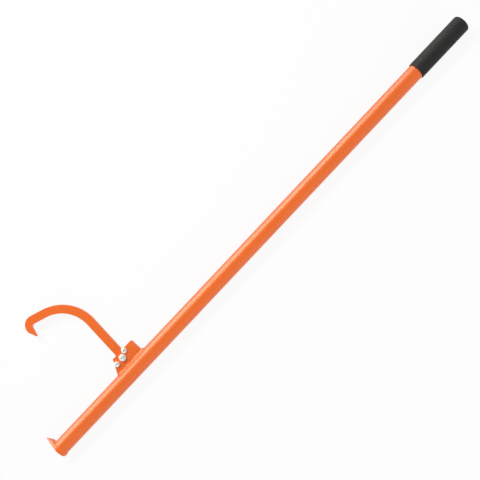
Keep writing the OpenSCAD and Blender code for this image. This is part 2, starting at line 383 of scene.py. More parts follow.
# The zinc's darker edge colour is painted shade on the washers' rounded rims.
BRIGHT_ZINC = Finish(
    name="bright_zinc", slot=Slot.ZINC,
    colour=(0.90, 0.89, 0.86), drift_colour=(0.80, 0.80, 0.78), edge_colour=(0.80, 0.79, 0.77),
    drift_scale=170.0, drift_amount=0.6, edge_amount=0.7,
    roughness=(0.28, 0.44), metallic=1.0, specular=0.5,
    swell_scale=900.0, tooth_scale=2600.0, tooth_share=0.2, relief=0.00003,
)
MOULDED_RUBBER = Finish(
    name="moulded_rubber", slot=Slot.RUBBER,
    colour=(0.015, 0.0152, 0.016), drift_colour=(0.020, 0.0203, 0.021), edge_colour=(0.03, 0.03, 0.03),
    drift_scale=45.0, drift_amount=0.8, edge_amount=0.4,
    roughness=(0.55, 0.70), metallic=0.0, specular=0.2,
    swell_scale=260.0, tooth_scale=900.0, tooth_share=0.8, relief=0.00016,
)
NATURAL_NYLON = Finish(
    name="natural_nylon", slot=Slot.NYLON,
    colour=(0.70, 0.73, 0.77), drift_colour=(0.60, 0.63, 0.68), edge_colour=(0.82, 0.84, 0.86),
    drift_scale=200.0, drift_amount=0.5, edge_amount=0.5,
    roughness=(0.35, 0.48), metallic=0.0, specular=0.5,
    swell_scale=700.0, tooth_scale=2000.0, tooth_share=0.2, relief=0.00004,
)


def round_off(bm: BMesh, edges: list[BMEdge], width: float, segments: int, mark: bool = True) -> None:
    """Round edges off, and mark the new faces as rounded edges.

    Args:
        bm: The mesh.
        edges: Edges to round.
        width: Width that the round takes off each face.
        segments: Faces across the round.
        mark: Whether the edge colour goes there, which is a thin coat on paint and painted shade on
            zinc.
    """
    layer = bm.faces.layers.float.get(EDGE_MARK) or bm.faces.layers.float.new(EDGE_MARK)
    made = bmesh.ops.bevel(
        bm, geom=edges, offset=width, offset_type="OFFSET", affect="EDGES",
        segments=segments, profile=0.5, material=-1, clamp_overlap=True,
    )
    for face in made["faces"]:
        face[layer] = float(mark)


def sharp_edges(bm: BMesh) -> list[BMEdge]:
    """All edges whose two faces meet at a sharp angle."""
    return [edge for edge in bm.edges if edge.calc_face_angle(0.0) > SHARP_ANGLE]


def tidy(bm: BMesh) -> None:
    """Merge doubles and point all faces outwards."""
    bmesh.ops.remove_doubles(bm, verts=bm.verts, dist=MERGE)
    bmesh.ops.recalc_face_normals(bm, faces=bm.faces)


def cut_off(bm: BMesh, place: Vector, way: Vector) -> None:
    """Cut away everything past a plane, and close the cut.

    Args:
        bm: The mesh.
        place: A point on the plane.
        way: Direction past the plane, which is cut away.
    """
    everything = bm.verts[:] + bm.edges[:] + bm.faces[:]
    bmesh.ops.bisect_plane(bm, geom=everything, plane_co=place, plane_no=way, clear_outer=True)
    rims = [edge for edge in bm.edges if edge.is_boundary]
    bmesh.ops.holes_fill(bm, edges=rims, sides=0)
    bmesh.ops.recalc_face_normals(bm, faces=bm.faces)


def thicken(bm: BMesh, height: float) -> None:
    """Raise a flat drawing into a plate.

    Args:
        bm: The mesh, with the drawing filled.
        height: Height of the plate.
    """
    made = bmesh.ops.extrude_face_region(bm, geom=bm.faces[:])
    raised = [item for item in made["geom"] if isinstance(item, BMVert)]
    bmesh.ops.translate(bm, verts=raised, vec=Z_AXIS * height)
    tidy(bm)


def turned(profile: list[tuple[float, float]], axis: Vector, side: Vector, steps: int) -> BMesh:
    """Spin a profile into a round piece.

    Args:
        profile: Heights along the axis and radii. It is closed, unless it starts and ends on the axis.
        axis: Axis of the piece, through the origin.
        side: Direction in which the profile is drawn.
        steps: Faces round the piece.

    Returns:
        The mesh.
    """
    bm = bmesh.new()
    points = [bm.verts.new(axis * height + side * radius) for height, radius in profile]
    edges = [bm.edges.new(pair) for pair in zip(points, points[1:])]
    if profile[0][1] > 0:
        edges.append(bm.edges.new((points[-1], points[0])))
    bmesh.ops.spin(
        bm, geom=points + edges, cent=(0, 0, 0), axis=axis,
        angle=2 * math.pi, steps=steps, use_merge=True,
    )
    tidy(bm)
    return bm


def circle_edges(bm: BMesh, place: Vector, radius: float, sides: int) -> list[BMEdge]:
    """Draw a level circle about a place, and return its edges."""
    made = bmesh.ops.create_circle(bm, segments=sides, radius=radius, matrix=Matrix.Translation(place))
    return list(dict.fromkeys(edge for vert in made["verts"] for edge in vert.link_edges))


def shank_of(name: str) -> tuple[Vector, float]:
    """Find a bolt's shank in the frame.

    Args:
        name: Name of the bolt's set.

    Returns:
        The place of the shank's axis at height 0, and the shank's radius.
    """
    low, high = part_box(name + "_bolt")
    axis = Vector(((low.x + high.x) / 2, (low.y + high.y) / 2, 0))
    below_head = [vert.co for vert in frame["nodes"][name + "_bolt"].data.vertices if vert.co.z < 0]
    return axis, max((place - axis).xy.length for place in below_head)


class Contour:
    """Outline of a flat plate, drawn in the XY plane."""

    def __init__(self, bm: BMesh, start: Vector) -> None:
        """Start the outline at a point.

        Args:
            bm: The mesh that it is drawn in.
            start: The point.
        """
        self.bm = bm
        self.edges_before = len(bm.edges)
        self.first = bm.verts.new(start.to_3d())
        self.last = self.first

    def line(self, end: Vector, parts: int = 1) -> "Contour":
        """Draw a straight stretch in equal parts.

        Args:
            end: Where it ends.
            parts: Number of parts.

        Returns:
            The outline.
        """
        begin = self.last.co.copy()
        for step in range(1, parts + 1):
            self.join(self.bm.verts.new(begin.lerp(end.to_3d(), step / parts)))
        return self

    def arc(self, centre: Vector, degrees: float, steps: int) -> "Contour":
        """Draw an arc, anticlockwise for a positive angle.

        Args:
            centre: Middle of the arc.
            degrees: Angle of the arc.
            steps: Number of straight parts.

        Returns:
            The outline.
        """
        made = bmesh.ops.spin(
            self.bm, geom=[self.last], cent=centre.to_3d(), axis=Z_AXIS,
            angle=math.radians(degrees), steps=steps, use_merge=False,
        )
        self.last = next(item for item in made["geom_last"] if isinstance(item, BMVert))
        return self

    def join(self, vert: BMVert) -> None:
        """Join the last point to another one."""
        self.bm.edges.new((self.last, vert))
        self.last = vert

    def edges(self) -> list[BMEdge]:
        """The edges drawn so far."""
        self.bm.edges.ensure_lookup_table()
        return self.bm.edges[self.edges_before:]

    def close(self) -> "Contour":
        """Join the last point to the first one, and return the outline."""
        self.join(self.first)
        return self

    def fill(self) -> None:
        """Close the outline and fill it with one face."""
        bmesh.ops.contextual_create(self.bm, geom=self.close().edges())


class Ring(NamedTuple):
    """One ring of a stacked piece; a hexagon's corners fall away from the height past the crown."""

    height: float
    radius: float
    outline: Outline = Outline.ROUND
    crown: float = 0.0
    fall: float = 0.0

    def point(self, angle: float) -> Vector:
        """Find the ring's place at an angle.

        Args:
            angle: Angle about the axis.

        Returns:
            The place.
        """
        reach = self.radius
        if self.outline is Outline.HEX:
            reach /= math.cos(angle % HEX_SIDE - HEX_SIDE / 2)
        drop = self.fall * max(0.0, reach - self.crown)
        return Vector((reach * math.cos(angle), reach * math.sin(angle), self.height - drop))


def stacked(rings: list[Ring], sides: int, joined: bool) -> BMesh:
    """Stack rings into a closed piece about the Z axis.

    Args:
        rings: The rings in order.
        sides: Points on each ring.
        joined: Whether the last ring joins the first, instead of both ending on the axis.

    Returns:
        The mesh.
    """
    bm = bmesh.new()
    bmesh.ops.create_circle(bm, segments=sides, radius=1.0)
    loops = [(bm.verts[:], bm.edges[:])]
    for _ in rings[1:]:
        made = bmesh.ops.extrude_edge_only(bm, edges=loops[-1][1])["geom"]
        verts = {item for item in made if isinstance(item, BMVert)}
        edges = [item for item in made if isinstance(item, BMEdge) and verts.issuperset(item.verts)]
        loops.append((list(verts), edges))
    if joined:
        bmesh.ops.bridge_loops(bm, edges=loops[0][1] + loops[-1][1])
    for ring, (verts, _) in zip(rings, loops):
        for vert in verts:
            vert.co = ring.point(math.atan2(vert.co.y, vert.co.x))
    tidy(bm)
    return bm


def threaded(radius: float, pitch: float, bottom: float, top: float, chamfer: float) -> BMesh:
    """Wind a thread between two heights on the Z axis.

    Args:
        radius: Outside radius of the thread.
        pitch: Height of one turn.
        bottom: Height of the bolt's end.
        top: Height at which the thread stops.
        chamfer: Chamfer at the bolt's end.

    Returns:
        The mesh, closed at both ends.
    """
    steps_a_turn = 36
    # Depth of the thread and ends of its flat crest, in pitches
    depth = 0.61
    crest = (0.45, 0.55)
    # Turns that start below the end, and are cut off
    spare_turns = 2
    root = radius - depth * pitch
    turns = math.ceil((top - bottom) / pitch) + spare_turns + 1
    start = bottom - spare_turns * pitch
    bm = bmesh.new()
    tooth = [(0.0, root), (crest[0], radius), (crest[1], radius), (1.0, root)]
    points = [bm.verts.new((reach, 0, start + share * pitch)) for share, reach in tooth]
    edges = [bm.edges.new(pair) for pair in zip(points, points[1:])]
    bmesh.ops.spin(
        bm, geom=points + edges, cent=(0, 0, 0), axis=Z_AXIS, dvec=Z_AXIS * pitch / steps_a_turn,
        angle=2 * math.pi * turns, steps=turns * steps_a_turn, use_merge=False,
    )
    bmesh.ops.remove_doubles(bm, verts=bm.verts, dist=MERGE)
    cut_off(bm, Z_AXIS * top, Z_AXIS)
    cut_off(bm, Z_AXIS * bottom, -Z_AXIS)
    for vert in bm.verts:
        reach = vert.co.xy.length
        allowed = radius - chamfer + vert.co.z - bottom
        if reach > allowed:
            vert.co.xy *= allowed / reach
    tidy(bm)
    return bm


@dataclass
class Bead:
    """Weld bead, laid drop over drop in a corner; sizes are in metres."""

    up_leg: float
    out_leg: float
    crown: float
    pitch: float
    ripple: float
    # How far the bead melts into the pieces that it joins
    melt: float = 0.0003
    # How far its face runs along the two pieces before it leaves them
    flow: float = 0.1
    # Lag of a drop's middle behind its edges, in drops
    lag: float = 0.45
    # Height in a drop's round, from 0 to 1, that lies level with the bead's plain face
    drop_level: float = 0.7
    # Unsteadiness of the hand: share of the size, waves along the bead and their start
    wavers: tuple[tuple[float, int, float], ...] = ((0.05, 7, 0.0), (0.04, 3, 1.0))
    # Parts of the bead's face, of each of its two hidden legs, and along each drop
    face_parts: int = 16
    leg_parts: int = 2
    drop_parts: int = 8

    def lay(self, place: Callable[[float, float, float], Vector], length: float, ring: bool) -> BMesh:
        """Lay the bead along a corner.

        Args:
            place: Gives the point at a distance along the corner, up one piece and out on the other.
            length: Length of the corner.
            ring: Whether the corner runs into its own start.

        Returns:
            The mesh.
        """
        drops = round(length / self.pitch)
        parts = self.face_parts + 2 * self.leg_parts
        bm = bmesh.new()
        # A unit grid about the origin: X runs along the bead, and Y round its section
        bmesh.ops.create_grid(bm, x_segments=drops * self.drop_parts, y_segments=parts, size=0.5)
        for vert in bm.verts:
            share = vert.co.x + 0.5
            swell = 1.0 if ring else self.taper(share * length, length)
            up, out = self.section(share, drops, round((vert.co.y + 0.5) * parts), swell)
            vert.co = place(share * length, up, out)
        tidy(bm)
        return bm

    def taper(self, distance: float, length: float) -> float:
        """Size of the bead near its ends, from 0 to 1."""
        left = min(distance, length - distance) / max(self.up_leg, self.out_leg)
        return math.sqrt(1 - (1 - min(left, 1.0)) ** 2)

    def section(self, share: float, drops: int, part: int, swell: float) -> tuple[float, float]:
        """One point of the bead's section.

        Args:
            share: How far along the bead the section stands, from 0 to 1.
            drops: Number of drops in the bead.
            part: Which point it is, from the outer toe over the face and back under the bead.
            swell: Size of the section, from 0 to 1.

        Returns:
            How far the point lies up the one piece and out on the other.
        """
        turn = 2 * math.pi * share
        waver = sum(much * math.sin(waves * turn + start) for much, waves, start in self.wavers)
        size = swell * (1 + waver)
        up_leg, out_leg = self.up_leg * size, self.out_leg * size
        if part > self.face_parts:
            back = (part - self.face_parts) / self.leg_parts - 1
            sink = self.melt * swell * (1 - abs(back))
            return up_leg * max(0.0, -back) - sink, out_leg * max(0.0, back) - sink
        climb = part / self.face_parts
        rest = 1 - climb
        bulge = math.sin(math.pi * climb) ** 2
        phase = (share * drops + self.lag * bulge) % 1.0
        wave = math.sqrt(1 - (2 * phase - 1) ** 2) - self.drop_level
        lift = swell * bulge * (self.crown + self.ripple * wave) / math.hypot(self.up_leg, self.out_leg)
        # The face is a cubic curve that leaves each piece along its surface
        pull = 3 * (1 - self.flow)
        up = up_leg * climb ** 2 * (climb + pull * rest) + self.out_leg * lift
        out = out_leg * rest ** 2 * (rest + pull * climb) + self.up_leg * lift
        return up, out


@dataclass
class SubAssembly:
    """Pieces that belong together; each piece replaces the frame's node of the same name.

    Sizes are in metres, and angles in degrees.
    """

    body: Body = Body.HANDLE
    pieces: dict[str, Object] = field(default_factory=dict)
    finishes: dict[str, Finish] = field(default_factory=dict)

    def add(self, node: str, bm: BMesh, finish: Finish, weighted: bool = False) -> None:
        """Turn a mesh into the piece that stands for a node.

        Args:
            node: Name of the node.
            bm: The mesh, which is used up.
            finish: The piece's finish.
            weighted: Whether large flat faces keep their own normals beside rounded edges.
        """
        mesh = bpy.data.meshes.new("dressed_" + node)
        bm.to_mesh(mesh)
        bm.free()
        mesh.shade_smooth()
        mesh.set_sharp_from_angle(angle=SMOOTH_ANGLE)
        piece = bpy.data.objects.new(mesh.name, mesh)
        bpy.context.scene.collection.objects.link(piece)
        if weighted:
            normals = piece.modifiers.new("flat_faces", "WEIGHTED_NORMAL")
            normals.keep_sharp = True
        self.pieces[node] = piece
        self.finishes[node] = finish

    def build(self) -> None:
        """Build the meshes."""
        raise NotImplementedError

    def dress(self, groups: SurfaceGroups) -> None:
        """Give every piece its finish, and hand it to the frame.

        Args:
            groups: The shared surface effects.
        """
        for node, piece in self.pieces.items():
            finish = self.finishes[node]
            piece.data.materials.append(finish.material(groups))
            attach(piece, self.body.value)
            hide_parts(node)


@dataclass
class Handle(SubAssembly):
    """Lever tube and its rubber grip."""

    wall: float = 0.002
    grip_end_round: float = 0.005
    grip_rim_round: float = 0.0008
    # Faces across each of these two rounds, and round the tube
    end_parts: int = 8
    rim_parts: int = 3
    tube_sides: int = 128

    def build(self) -> None:
        """Build the tube and the grip."""
        low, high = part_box("handle_tube")
        inside = high.y - self.wall
        walls = [(low.x, inside), (low.x, high.y), (high.x, high.y), (high.x, inside)]
        self.add("handle_tube", turned(walls, X_AXIS, Y_AXIS, self.tube_sides), POWDER_COAT)
        self.build_grip(high)

    def build_grip(self, tube_end: Vector) -> None:
        """Build a closed sleeve with a rounded end and rim.

        Args:
            tube_end: Corner of the tube's box at its upper end.
        """
        low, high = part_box("grip")
        profile = [
            (high.x, 0.0), (high.x, high.y), (low.x, high.y),
            (low.x, tube_end.y), (tube_end.x, tube_end.y), (tube_end.x, 0.0),
        ]
        bm = turned(profile, X_AXIS, Y_AXIS, self.tube_sides)
        for height, width, parts in (
            (high.x, self.grip_end_round, self.end_parts),
            (low.x, self.grip_rim_round, self.rim_parts),
        ):
            outer = [vert for vert in bm.verts if vert.co.yz.length > high.y - MERGE]
            circle = {vert for vert in outer if abs(vert.co.x - height) < MERGE}
            round_off(bm, [edge for edge in bm.edges if circle.issuperset(edge.verts)], width, parts)
        self.add("grip", bm, MOULDED_RUBBER)


@dataclass
class Toe(SubAssembly):
    """Pointed toe plate and the weld that joins it to the tube."""

    point_radius: float = 0.0015
    bevel_length: float = 0.012
    edge_thickness: float = 0.001
    edge_round: float = 0.0005
    weld_drop: float = 0.0042
    weld_crown: float = 0.0002
    weld_ripple: float = 0.0002
    # Straight parts of the two arcs of the plate's outline
    back_steps: int = 64
    point_steps: int = 8

    def build(self) -> None:
        """Build the plate and its weld."""
        self.build_plate()
        self.build_weld()

    def build_plate(self) -> None:
        """Build a disc that runs out along two tangents to a ground point."""
        _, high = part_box("toe_plate")
        back, reach, thickness = high.z, high.y, high.x
        tip = Vector((reach - self.point_radius, 0))
        turn = math.degrees(math.acos((back - self.point_radius) / tip.x))
        left = Vector((math.cos(math.radians(turn)), math.sin(math.radians(turn))))
        right = Vector((left.x, -left.y))
        bm = bmesh.new()
        outline = Contour(bm, left * back).arc(Vector((0, 0)), 360 - 2 * turn, self.back_steps)
        outline.line(tip + right * self.point_radius).arc(tip, 2 * turn, self.point_steps).fill()
        thicken(bm, thickness)
        grind = Vector((self.bevel_length, 0, thickness - self.edge_thickness))
        top = Vector((reach - self.bevel_length, 0, thickness))
        cut_off(bm, top, Vector((grind.z, 0, grind.x)))
        round_off(bm, sharp_edges(bm), self.edge_round, EDGE_PARTS)
        bm.transform(ACROSS_TUBE)
        self.add("toe_plate", bm, POWDER_COAT, weighted=True)

    def build_weld(self) -> None:
        """Lay a bead round the tube's foot."""
        low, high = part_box("toe_weld")
        tube_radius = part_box("handle_tube")[1].y
        legs = (high.x - low.x, high.y - tube_radius)
        bead = Bead(*legs, self.weld_crown, self.weld_drop, self.weld_ripple)

        def place(distance: float, up: float, out: float) -> Vector:
            """Point round the tube's foot."""
            round_tube = Matrix.Rotation(distance / tube_radius, 3, "X")
            return X_AXIS * (low.x + up) + round_tube @ Y_AXIS * (tube_radius + out)

        length = 2 * math.pi * tube_radius
        self.add("toe_weld", bead.lay(place, length, ring=True), WELD_WITH_PAINTED_HIGHLIGHT)


@dataclass
class Bracket(SubAssembly):
    """Folded bracket that carries the hook, and its weld."""

    sheet: float = 0.004
    # Inner radius of the two bends
    bend: float = 0.002
    # Distance from the pivot to the slanted front, at its top and at its foot
    front_top: float = 0.017
    front_foot: float = 0.0338
    front_corner: float = 0.003
    back_corner: float = 0.004
    edge_round: float = 0.0005
    # Cuts across the sheet's thickness, for the rounded corner
    sheet_cuts: int = 5
    # Parts of each bend, of the web between them and of the front corner's round
    bend_steps: int = 8
    web_parts: int = 4
    corner_parts: int = 6
    bolts: tuple[str, ...] = ("pivot", "open_stop", "closed_stop")
    bolt_fit: float = 0.0001
    bore_sides: int = 32
    # Height of the weld up the sheet, and its width on the tube
    weld_height: float = 0.0045
    weld_width: float = 0.006
    weld_crown: float = 0.0004
    weld_drop: float = 0.0055
    weld_ripple: float = 0.0007
    tube_radius: float = field(init=False)
    pivot: Vector = field(init=False)
    low: Vector = field(init=False)
    high: Vector = field(init=False)

    def build(self) -> None:
        """Build the folded sheet and its weld."""
        self.tube_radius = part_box("handle_tube")[1].y
        self.pivot = Vector(frame["joints"][0]["pos_m"])
        self.low, self.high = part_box("hook_bracket")
        self.build_sheet()
        self.build_weld()

    def build_sheet(self) -> None:
        """Fold a channel with slanted fronts and rounded corners, seated on the tube."""
        bm = bmesh.new()
        rails = self.rail(bm, self.high.z, self.bend + self.sheet)
        rails += self.rail(bm, self.high.z - self.sheet, self.bend)
        across = bmesh.ops.bridge_loops(bm, edges=rails)["edges"]
        bmesh.ops.subdivide_edges(bm, edges=across, cuts=self.sheet_cuts)
        thicken(bm, self.high.y)
        bm.transform(STOOD_UP)
        self.shape_ends(bm)
        self.drill(bm)
        self.add("hook_bracket", bm, POWDER_COAT, weighted=True)

    def rail(self, bm: BMesh, half: float, radius: float) -> list[BMEdge]:
        """One side of the sheet, from the front of one cheek round the web to the other's.

        Args:
            bm: The mesh.
            half: Distance of the cheeks from the middle.
            radius: Radius of the two bends.

        Returns:
            The edges.
        """
        bend_x = self.high.x - self.bend - self.sheet
        flat = half - radius
        outline = Contour(bm, Vector((self.low.x, -half))).line(Vector((bend_x, -half)))
        outline.arc(Vector((bend_x, -flat)), 90, self.bend_steps)
        outline.line(Vector((bend_x + radius, flat)), self.web_parts)
        outline.arc(Vector((bend_x, flat)), 90, self.bend_steps)
        return outline.line(Vector((self.low.x, half))).edges()

    def shape_ends(self, bm: BMesh) -> None:
        """Seat the feet, slant the fronts, and round the corners and edges.

        Args:
            bm: The channel, with square ends.
        """
        top = Vector((self.pivot.x - self.front_top, self.high.y, 0))
        foot = Vector((self.pivot.x - self.front_foot, self.tube_radius, 0))
        slant = foot - top
        for vert in bm.verts:
            past = vert.co.x - self.high.x + self.back_corner
            if vert.co.y < MERGE:
                vert.co.y = math.sqrt(self.tube_radius ** 2 - vert.co.z ** 2)
            elif past > 0:
                vert.co.y -= self.back_corner - math.sqrt(max(0.0, self.back_corner ** 2 - past ** 2))
            if vert.co.x < self.low.x + MERGE:
                vert.co.x = top.x + slant.x * (vert.co.y - top.y) / slant.y
        corner = [
            edge for edge in bm.edges
            if all(abs(v.co.x - top.x) < MERGE and abs(v.co.y - top.y) < MERGE for v in edge.verts)
        ]
        width = self.front_corner / math.tan(slant.angle(X_AXIS) / 2)
        round_off(bm, corner, width, self.corner_parts, mark=False)
        bmesh.ops.recalc_face_normals(bm, faces=bm.faces)
        seated = {vert for vert in bm.verts if vert.co.yz.length <= self.tube_radius + MERGE}
        free = [edge for edge in sharp_edges(bm) if not seated.issuperset(edge.verts)]
        round_off(bm, free, self.edge_round, EDGE_PARTS)

    def drill(self, bm: BMesh) -> None:
        """Drill the bolts' holes through both cheeks.

        Args:
            bm: The folded sheet, with one flat face on each side of each cheek.
        """
        for side in (1.0, -1.0):
            outer, inner = (
                self.pierce(bm, side * height) for height in (self.high.z, self.high.z - self.sheet)
            )
            for rims in zip(outer, inner):
                bmesh.ops.bridge_loops(bm, edges=rims[0] + rims[1])
        bmesh.ops.recalc_face_normals(bm, faces=bm.faces)

    def pierce(self, bm: BMesh, height: float) -> list[list[BMEdge]]:
        """Open the holes in one flat face.

        Args:
            bm: The folded sheet.
            height: Height of the face.

        Returns:
            The edges of each hole's rim.
        """
        level = [face for face in bm.faces if all(abs(v.co.z - height) < MERGE for v in face.verts)]
        cheek = max(level, key=lambda face: face.calc_area())
        border = cheek.edges[:]
        bmesh.ops.delete(bm, geom=[cheek], context="FACES_ONLY")
        rims = []
        for name in self.bolts:
            axis, radius = shank_of(name)
            bore = radius + self.bolt_fit
            rims.append(circle_edges(bm, axis + Z_AXIS * height, bore, self.bore_sides))
        bmesh.ops.triangle_fill(bm, use_beauty=True, edges=border + sum(rims, []))
        return rims

    def build_weld(self) -> None:
        """Lay a bead up one cheek's foot, round the web and down the other cheek's foot."""
        outer = self.high.z
        round_out = self.bend + self.sheet
        flat = outer - round_out
        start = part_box("bracket_weld")[0].x
        cheek = self.high.x - round_out - start
        quarter = round_out * math.pi / 2
        half_length = cheek + quarter + flat

        def place(distance: float, up: float, out: float) -> Vector:
            """Find a point along the foot, whose second half mirrors the first.

            Args:
                distance: Distance along the foot.
                up: Distance up the sheet.
                out: Distance out on the tube.

            Returns:
                The point.
            """
            side = 1.0 if distance < half_length else -1.0
            run = min(distance, 2 * half_length - distance)
            turn = min(max((run - cheek) / round_out, 0.0), math.pi / 2)
            x = start + min(run, cheek) + round_out * math.sin(turn)
            z = flat + round_out * math.cos(turn) - max(run - cheek - quarter, 0.0)
            tube_way = Vector((0, math.sqrt(self.tube_radius ** 2 - z * z), z)) / self.tube_radius
            away = Vector((math.sin(turn), 0, math.cos(turn)))
            along = (away - tube_way * away.dot(tube_way)).normalized()
            on_tube = tube_way * self.tube_radius + along * out
            seat = Vector((0, on_tube.y, on_tube.z)).normalized() * self.tube_radius
            return Vector((x + on_tube.x, seat.y + up, side * seat.z))

        bead = Bead(
            self.weld_height, self.weld_width, self.weld_crown, self.weld_drop, self.weld_ripple
        )
        self.add("bracket_weld", bead.lay(place, 2 * half_length, ring=False), WELD_WITH_PAINTED_HIGHLIGHT)


@dataclass
class Hook(SubAssembly):
    """Flat hook with a straight shank, one bend and a beak."""

    body: Body = Body.HOOK
    width: float = 0.018
    # Lean of the shank towards the grip
    lean: float = 4.0
    shank: float = 0.1
    bend_radius: float = 0.08
    bend_angle: float = 75.4
    arm: float = 0.034
    # Round back of the beak: its radius, its start before the arm's end, its end past a right angle
    back_radius: float = 0.021
    back_offset: float = 0.007
    back_end: float = 25.0
    # Reach of the beak past the arm, width of its blunt point, and round of its inner corner
    beak_depth: float = 0.0255
    beak_flat: float = 0.0012
    beak_fillet: float = 0.006
    bore_radius: float = 0.00405
    edge_round: float = 0.0008
    # Straight parts of the arcs, and of the line between bar and eye
    bend_steps: int = 48
    back_steps: int = 28
    fillet_steps: int = 10
    eye_parts: int = 8

    def build(self) -> None:
        """Build the hook."""
        low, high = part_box("hook")
        bm = bmesh.new()
        self.draw_bar(bm)
        self.draw_eye(bm)
        tidy(bm)
        thicken(bm, high.z - low.z)
        bore = self.bore_radius + MERGE
        outside = [edge for edge in sharp_edges(bm) if max(v.co.xy.length for v in edge.verts) > bore]
        round_off(bm, outside, self.edge_round, EDGE_PARTS)
        pivot = Vector(frame["joints"][0]["pos_m"])
        lean = Matrix.Rotation(-math.radians(self.lean), 4, "Z")
        bm.transform(Matrix.Translation(pivot + Z_AXIS * low.z) @ lean)
        self.add("hook", bm, POWDER_COAT, weighted=True)

    def draw_bar(self, bm: BMesh) -> None:
        """Draw shank, bend, arm and beak, from the eye's top round to it again.

        Args:
            bm: The mesh.
        """
        half = self.width / 2
        bend_middle = Vector((-self.bend_radius, self.shank))
        turn = Matrix.Rotation(math.radians(self.bend_angle), 2)
        arm_start = bend_middle + turn @ Vector((self.bend_radius, 0))
        arm_turn = turn @ Matrix.Rotation(math.pi / 2, 2)

        def on_arm(x: float, y: float) -> Vector:
            """A point given along the arm and towards the hook's inside."""
            return arm_start + arm_turn @ Vector((x, y))

        back_x = self.arm - self.back_offset
        back_y = self.back_radius - half
        point = half + self.beak_depth
        outline = Contour(bm, Vector((-half, half))).line(Vector((half, half)), self.eye_parts)
        outline.line(Vector((half, self.shank))).arc(bend_middle, self.bend_angle, self.bend_steps)
        outline.line(on_arm(back_x, -half))
        outline.arc(on_arm(back_x, back_y), 90 + self.back_end, self.back_steps)
        outline.line(on_arm(self.arm + self.beak_flat, point)).line(on_arm(self.arm, point))
        fillet_y = half + self.beak_fillet
        outline.line(on_arm(self.arm, fillet_y))
        outline.arc(on_arm(self.arm - self.beak_fillet, fillet_y), -90, self.fillet_steps)
        outline.line(on_arm(0, half)).arc(bend_middle, -self.bend_angle, self.bend_steps)
        outline.fill()

    def draw_eye(self, bm: BMesh) -> None:
        """Draw the round end with its bore, below the bar.

        Args:
            bm: The mesh.
        """
        half = self.width / 2
        side_parts = self.eye_parts // 2
        outline = Contour(bm, Vector((-half, half))).line(Vector((-half, 0)), side_parts)
        outline.arc(Vector((0, 0)), 180, self.eye_parts * 2).line(Vector((half, half)), side_parts)
        # Closing the outline draws the last part of its top
        open_parts = self.eye_parts - 1
        outline.line(Vector((half - self.width * open_parts / self.eye_parts, half)), open_parts)
        rim = outline.close().edges()
        bore = circle_edges(bm, Vector((0, 0, 0)), self.bore_radius, len(rim))
        bmesh.ops.bridge_loops(bm, edges=rim + bore)


